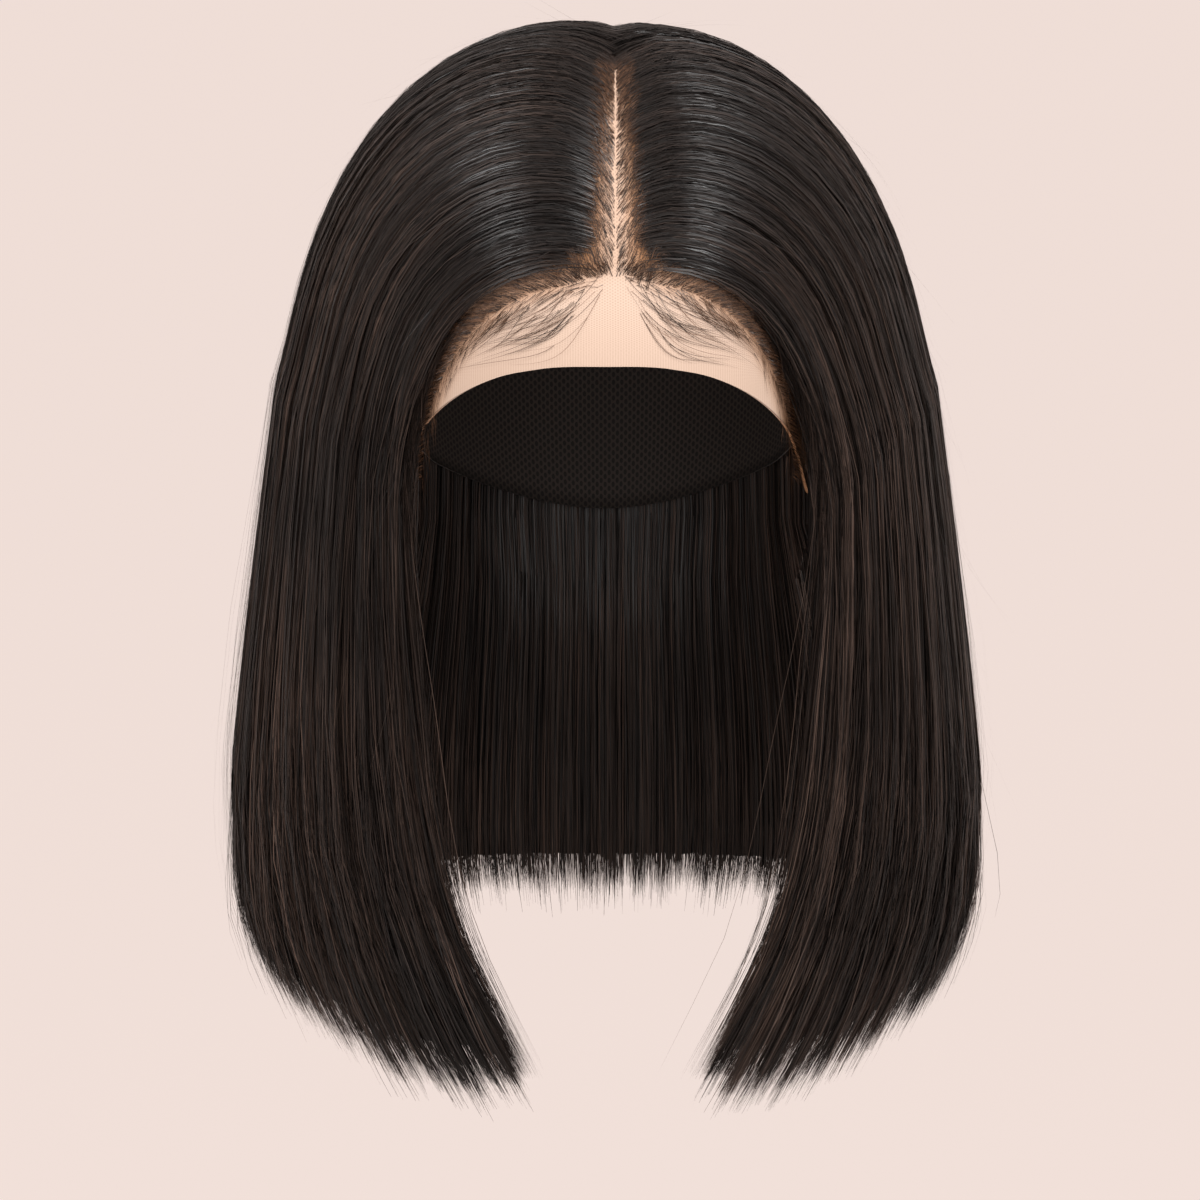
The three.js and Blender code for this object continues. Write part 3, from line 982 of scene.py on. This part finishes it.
def hairline_hairs(count, rng):
    """Nine of ten hairs lean up into the dense hair, and the tenth leans down over the lace. Each is a
    running sum of equal steps, and its lean lessens towards the tip. By the parting they are shorter."""
    side = chance_side(count, rng)
    along = mix(0.025, 0.95, rng.random((count, 1)))
    up = rng.random((count, 1)) < leaning_up
    above = (spine_drop(along) + 3 * MM) * rng.random((count, 1)) ** 1.3
    below = 4 * MM * rng.random((count, 1)) ** 2
    drop = spine_drop(along) + np.where(up, -above, below)
    shape = (count, 1)
    length = np.where(up, rng.uniform(*lengths_up, shape), rng.uniform(*lengths_down, shape)) * MM
    length = length * mix(0.5, 1, smooth_step(along, 0, 0.15))
    lean = np.radians(np.where(up, rng.normal(*lean_up, shape), rng.normal(*lean_down, shape)))
    lean = lean * mix(1, 0.6, short_steps)
    step = length / (short_steps.size - 1)
    along = along + way(step * np.cos(lean)) / hairline_length
    drop = drop - way(step * np.sin(lean))
    lift = (0.1 + np.where(up, rng.uniform(0.8, 2.8, (count, 1)), 0.4) * np.sin(short_steps * 1.9)) * MM
    paths = on_lace(along, drop, side, lift)
    half_width = hairline_hair_width / 2 * (1.1 - short_steps) * rng.uniform(0.5, 1.4, (count, 1))
    return put_short_hairs("hairline_hairs", paths, half_width, rng.random(count) ** 2, short_steps)


hairline_hairs(3600, RNG)

# %% [markdown]
# ## Baby hairs and wisps
#
# Baby hairs are the longer thin ones at the edge, combed down and aside in arcs. A sine added to a straight
# way gives such an arc with one number for its height. Wisps are what has come loose at the temples.

# %% Baby hairs and temple wisps
long_steps = np.linspace(0, 1, 12)
baby_hair_width = 0.11 * MM
wisp_width = 0.14 * MM
last_start = 0.4
finishes = (0.5, 0.66)
first_swing = 0.33
last_swing = 0.1


def baby_hairs(count, rng):
    """Arcs over the lace: they start near the parting, swing down the forehead and turn to the temple. Each
    is a straight way between two drops plus a sine, and shows a chance part of the whole arc."""
    side = chance_side(count, rng)
    start = last_start * rng.random((count, 1)) ** 1.3
    finish = rng.uniform(*finishes, (count, 1))
    share = rng.uniform(0, 0.3, (count, 1)) + rng.uniform(0.4, 0.7, (count, 1)) * long_steps
    along = mix(start, finish, share)
    arc_length = (finish - start) * hairline_length
    usual_swing = mix(first_swing, last_swing, start / last_start)
    swing = usual_swing * rng.uniform(0.5, 1.1, (count, 1)) * arc_length * np.sin(np.pi * share**0.75)
    first = spine_drop(start) + rng.uniform(-1, 1.5, (count, 1)) * MM
    last = rng.uniform(-2, 6, (count, 1)) * MM
    drop = mix(first, last, share) + swing + 0.25 * MM * waves(count, rng, long_steps, 1.5)
    lift = (0.15 + 1.2 * np.sin(np.pi * long_steps) * rng.random((count, 1))) * MM
    paths = on_lace(along, drop, side, lift)
    half_width = baby_hair_width / 2 * (1.1 - long_steps**2) * rng.uniform(0.5, 1.4, (count, 1))
    return put_short_hairs("baby_hairs", paths, half_width, rng.random(count) ** 2, long_steps)


def temple_wisps(count, rng):
    """Thin strands that leave the front edge at the temples and fall beside the face: short pieces of the
    edge's own path, moved inwards by a chance length that grows along them."""
    side = chance_side(count, rng)
    steps = rng.uniform(0.45, 0.95, (count, 1)) + rng.uniform(0.15, 0.4, (count, 1)) * long_steps
    paths, outward = hair_at(side * 1.0, steps, rng.uniform(0.5, 4, (count, 1)) * MM)
    inwards = rng.uniform(1, 9, (count, 1)) * MM * long_steps**1.4
    paths[..., 0] -= side * inwards
    paths[..., 2] -= 0.3 * inwards
    half_width = wisp_width / 2 * (1.1 - long_steps) * rng.uniform(0.5, 1.5, (count, 1))
    return put_strands("temple_wisps", paths, outward, half_width, 0.0, rng.random(count), long_steps)


baby_hairs(170, RNG)
temple_wisps(260, RNG)

# %% [markdown]
# ## Flyaways
#
# A few hairs always stand clear of the rest. Against a pale ground they draw a fine broken line along the
# outline, and without them the hair looks like a cap of plastic. They take the same paths as the strands,
# but a little outside the surface. Long ones keep together in small groups, as loose strands do, and short
# ones are the new and broken hairs that stand up everywhere.

# %% Flyaways
flyaway_width = 0.3 * MM
short_flyaway_width = 0.16 * MM
group_size = 3
group_spread = 0.0025
heights = (0.6, 5)
highest = 7
tip_shifts = (-25, 6)
short_height = 3.5


def long_flyaways(groups, rng):
    """Strands from root to tip, in small groups that share a place and a height above the surface. Both
    wave, and the height grows where the hair hangs. Each strand of a group then goes a little its own
    way."""
    steps = strand_steps + np.zeros((groups, 1))
    about = rng.uniform(-1, 1, (groups, 1)) + 0.02 * waves(groups, rng, steps, 0.7) * np.minimum(steps, 1)
    height = rng.uniform(*heights, (groups, 1)) * (0.7 + 0.6 * waves(groups, rng, steps, 1.2))
    about, height, steps = (np.repeat(row, group_size, axis=0) for row in (about, height, steps))
    count = group_size * groups
    about = np.clip(about + rng.normal(0, group_spread, (count, 1)) * steps, -1, 1)
    height = np.minimum(height + rng.normal(0, 0.35, (count, 1)) * steps, highest)
    rise = (0.25 + 0.75 * smooth_step(steps, 0.8, 1.5)) * np.minimum(steps * 2, 1)
    depth = (0.5 - height * rise) * MM
    tip_shift = rng.uniform(*tip_shifts, (count, 1)) * MM
    paths, outward = hair_at(about, steps, depth, tip_shift, 0.3)
    taper = np.clip((2.1 - steps) / 0.5, 0, 1)
    half_width = flyaway_width / 2 * rng.uniform(0.3, 1.2, (count, 1)) * taper
    return put_strands("long_flyaways", paths, outward, half_width, 0.0, rng.random(count), steps / 2)


def short_flyaways(count, rng):
    """Short hairs that leave the surface in a bow, so that only their tips stand clear. A hair's height
    is a chance one times a power of the way along it."""
    start = rng.uniform(0.02, 1.6, (count, 1))
    steps = start + rng.uniform(0.1, 0.4, (count, 1)) * long_steps
    about = rng.uniform(-1, 1, (count, 1)) + rng.normal(0, 0.02, (count, 1)) * long_steps
    height = rng.exponential(short_height, (count, 1)) * long_steps**1.4
    depth = (0.4 - height) * MM
    paths, outward = hair_at(np.clip(about, -1, 1), steps, depth)
    half_width = short_flyaway_width / 2 * rng.uniform(0.5, 1.4, (count, 1)) * (1.1 - long_steps)
    return put_strands("short_flyaways", paths, outward, half_width, 0.0, rng.random(count), steps / 2)


long_flyaways(200, RNG)
short_flyaways(1100, RNG)

# %% [markdown]
# ## The cap
#
# The cap is the head's form again, cut at an edge that runs from the forehead over the ears to the nape,
# and parted in two by a seam. For each direction round the head the seam is looked for down the wall, as
# the first of 400 places that lies behind a slanting plane. So both halves end on one line, with no boolean.

# %% Cap surfaces


def cap_points(turn, share, growth):
    """The cap's wall: turn is the angle from the face, share runs from the crown to the cap's edge."""
    from_face = np.degrees(np.arccos(np.cos(turn)))
    edge = read(cap_edge_table, "azimuth", from_face, mirrored=True).depth * cap_depth
    angle = np.minimum(edge / head_rise, 1) * np.sin(share * QUARTER) * QUARTER
    below = np.maximum(edge - head_rise, 0) * share**rim_bend
    x = -np.sin(turn) * np.sin(angle) * head_half_width
    y = -np.cos(turn) * np.sin(angle) * head_half_depth
    z = (np.cos(angle) - 1) * head_rise
    form = on_head(np.stack([x, y, z], -1), growth)
    tuck = 1 - nape_tuck * (below / (cap_depth - head_rise)) ** 2
    return np.stack([form[..., 0] * tuck, form[..., 1] * tuck, form[..., 2] - below], -1)


def seam_share(turn):
    """How far down the wall the seam lies in each direction, or 1 where the wall never meets it."""
    shares = np.linspace(0, 1, 400)
    wall = cap_points(turn[:, None], shares[None, :], cap_wall)
    behind = wall[..., 1] > seam_behind_crown + wall[..., 2] * np.tan(seam_tilt)
    return np.where(behind.any(1), shares[behind.argmax(1)], 1.0)


def weld(piece):
    """Joins the columns that meet and the points that close up at the crown, and drops faces inside."""
    work = bmesh.new()
    work.from_mesh(piece.data)
    bmesh.ops.remove_doubles(work, verts=work.verts, dist=1e-6)
    inside = [face for face in work.faces if all(len(edge.link_faces) > 2 for edge in face.edges)]
    bmesh.ops.delete(work, geom=inside, context="FACES_ONLY")
    work.to_mesh(piece.data)
    work.free()


def knots_and_painted_shade(points):
    """How dark and warm the lace is painted at each point, partly for the knots in it and partly as painted
    shade from the hair over it: 0 on the bare lace and 1 at the dense hair's edge. It grows from the
    parting's middle line outwards, and over the last few millimetres to the hairline."""
    right, left = (hairline_at(hairline_samples, side + 0 * hairline_samples)[0] for side in (1.0, -1.0))
    path = np.concatenate([right, left])
    away = np.linalg.norm(points[:, None] - path[None], axis=-1).min(1)
    above = smooth_step(points[:, 2], -hairline_drop - 3 * MM, -hairline_drop + 4 * MM)
    beside = np.abs(points[:, 0] - parting_aside) / parting_half_width(points[:, 1])
    hairline = smooth_step(beside, 0, 2) * smooth_step(away, 10 * MM, 1 * MM)
    # Behind the temples and below the hairline the lace lies under the hair, and is painted fully in its
    # shade.
    behind_temple = smooth_step(points[:, 1], -0.7 * head_half_depth, -0.6 * head_half_depth)
    below = 1 - smooth_step(points[:, 2], -hairline_drop, -hairline_drop + 10 * MM)
    knots_and_shade = np.maximum(above * mix(0.25, 1, smooth_step(beside, 0.1, 0.8)), 0.7 * hairline)
    return np.maximum(knots_and_shade, behind_temple * below)


def cap_piece(name, turn, first, last, rows, material):
    """The cap's wall between two shares of its way down, one for each direction."""
    share = mix(first[None], last[None], np.linspace(0, 1, rows)[:, None])
    turns = np.broadcast_to(turn[None], share.shape)
    outer, inner = (cap_points(turns, share, growth) for growth in (cap_wall, 0.0))
    points, quads = shell(outer, inner)
    down = share * cap_depth
    around = turns * head_half_depth
    uv = np.tile(np.stack([around, down], -1).reshape(-1, 2), (2, 1))
    piece = put_mesh(name, points, quads[:, ::-1], uv, knots_and_painted_shade(points), material)
    weld(piece)
    return piece


# %% [markdown]
# ## Lace and net
#
# Lace is a net with holes about a millimetre wide, and the stretch net at the back has larger ones. As
# geometry the holes would take millions of faces, so the material draws them. Three waves that lie 60
# degrees apart add up to rows of round holes, as in a honeycomb, and one function serves both pieces.

# %% Lace and net
lace_pitch = 1.1 * MM
lace_relief = 0.1 * MM
net_pitch = 2.0 * MM
net_thread = (0.03, 0.023, 0.019, 1)
net_hole = (0.004, 0.003, 0.0027, 1)
bare_thread = (0.47, 0.355, 0.28, 1)
# The holes are painted darker than the threads, as the shade in them.
bare_hole_shade = (0.35, 0.25, 0.19, 1)
# Where hair is dense the lace is warmer and darker: partly its knots, and partly painted shade from the hair
# over it.
knot_and_shade_thread = (0.34, 0.165, 0.07, 1)
knot_and_shade_hole = (0.23, 0.108, 0.045, 1)


def holes(m, pitch):
    """1 in the holes and 0 on the threads of a net: the sum of three waves that lie 60 degrees apart."""
    uv = m.node("ShaderNodeUVMap", uv_map="along").outputs[0]
    total = 0.0
    cycle = 2 * np.pi / pitch
    for angle in np.radians([0, 60, 120]):
        direction = (cycle * np.cos(angle), cycle * np.sin(angle), 0)
        phase = m.node("ShaderNodeVectorMath", {0: uv, 1: direction}, operation="DOT_PRODUCT")
        total = m.math("ADD", m.math("COSINE", phase.outputs["Value"]), total)
    # The sum runs from -1.5 to 3, and this brings it between 0 and 1.
    return m.math("MULTIPLY_ADD", total, 1 / 4.5, 1 / 3)


def lace_material():
    """Skin-coloured lace: a net of fine holes over a sheer ground, with the holes painted darker as the shade
    in them. It is warmer and darker where hair is dense, partly for the knots and partly as painted shade
    from the hair.
    """
    m = new_material("lace", Roughness=0.8)
    hole = m.math("SMOOTH_MIN", holes(m, lace_pitch), 1.0, 0.2)
    tone = m.node("ShaderNodeAttribute", attribute_name="tone").outputs["Fac"]
    bare = m.blend(hole, bare_thread, bare_hole_shade)
    knots_and_shade = m.blend(hole, knot_and_shade_thread, knot_and_shade_hole)
    m.connect(m.blend(tone, bare, knots_and_shade), "Base Color")
    bump = m.node("ShaderNodeBump", {"Height": hole, "Strength": 0.3, "Distance": lace_relief})
    m.connect(bump.outputs[0], "Normal")
    return m.material


def net_material():
    """Dark stretch net, matte: brown-black threads, where the waves are low, and nearly black holes."""
    m = new_material("net", Roughness=0.85)
    thread = m.math("LESS_THAN", holes(m, net_pitch), 0.3)
    m.connect(m.blend(thread, net_hole, net_thread), "Base Color")
    return m.material


cap_columns = 145
lace_rows = 44
net_rows = 36
seam_gap = 0.004

turn = np.linspace(-np.pi, np.pi, cap_columns)
seam = seam_share(turn)
lace = cap_piece("lace_front_mesh", turn, 0 * seam, seam, lace_rows, lace_material())
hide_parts("lace_front")

turn = np.linspace(0, 2 * np.pi, cap_columns)
seam = seam_share(turn)
behind = seam < 1
top = seam[behind] + seam_gap
rim = np.ones(top.size)
net = cap_piece("net_cap_mesh", turn[behind], top, rim, net_rows, net_material())
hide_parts("net_cap")

# %% [markdown]
# ## Light, camera and floor
#
# Dark hair needs large soft lights, because small ones give hard glints on it. Two large lights high at
# the sides draw the sheen over the crown, and a wide one in front fills the lengths. The camera stands far
# away with a long lens, so the wig is drawn with little perspective. The ground is plain and pale.

# %% Camera
view_centre = Vector((-1.6 * MM, 0, -191.5 * MM))
view_distance = 1.6
view_elevation = np.radians(9.5)
view_width = 0.42

camera = bpy.data.objects.new("camera", bpy.data.cameras.new("camera"))
bpy.context.collection.objects.link(camera)
towards = Vector((0, -np.cos(view_elevation), np.sin(view_elevation)))
camera.location = view_centre + towards * view_distance
camera.rotation_mode = "QUATERNION"
camera.rotation_quaternion = towards.to_track_quat("Z", "Y")
camera.data.lens = camera.data.sensor_width * view_distance / view_width
bpy.context.scene.camera = camera
print(f"camera: {view_distance} m away with a lens of {camera.data.lens:.0f} mm")

# %% Lights and floor
ground_light = (0.87, 0.735, 0.682, 1)
paper_white = (0.99, 0.99, 0.99, 1)
floor_drop = 3.2
floor_size = 400

bpy.context.scene.view_settings.view_transform = "Standard"

world = bpy.data.worlds.new("studio")
world.use_nodes = True
background = world.node_tree.nodes["Background"]
background.inputs["Color"].default_value = ground_light
background.inputs["Strength"].default_value = 1.0
bpy.context.scene.world = world


def soft_box(name, place, size, watts):
    """A square area light that faces the wig's middle."""
    light = bpy.data.lights.new(name, "AREA")
    light.size = size
    light.energy = watts
    lamp = bpy.data.objects.new(name, light)
    lamp.location = place
    lamp.rotation_mode = "QUATERNION"
    lamp.rotation_quaternion = (Vector(place) - view_centre).to_track_quat("Z", "Y")
    bpy.context.collection.objects.link(lamp)


soft_box("key_right", (1.1, -1.1, 1.1), 0.8, 42)
soft_box("key_left", (-1.2, -1.0, 1.0), 0.8, 28)
soft_box("front", (0.0, -2.2, 0.4), 1.4, 12)

corners = np.array([[-0.5, -0.5, 0], [0.5, -0.5, 0], [0.5, 0.5, 0], [-0.5, 0.5, 0]]) * floor_size
floor_mesh = bpy.data.meshes.new("floor")
floor_mesh.from_pydata(corners - [0, 0, floor_drop], [], [(0, 1, 2, 3)])
floor = bpy.data.objects.new("floor", floor_mesh)
bpy.context.collection.objects.link(floor)
paper = new_material("paper", Roughness=0.9, Specular_IOR_Level=0.0, Base_Color=paper_white)
floor_mesh.materials.append(paper.material)
print(f"floor: {floor_size} m wide, {floor_drop} m below the crown")
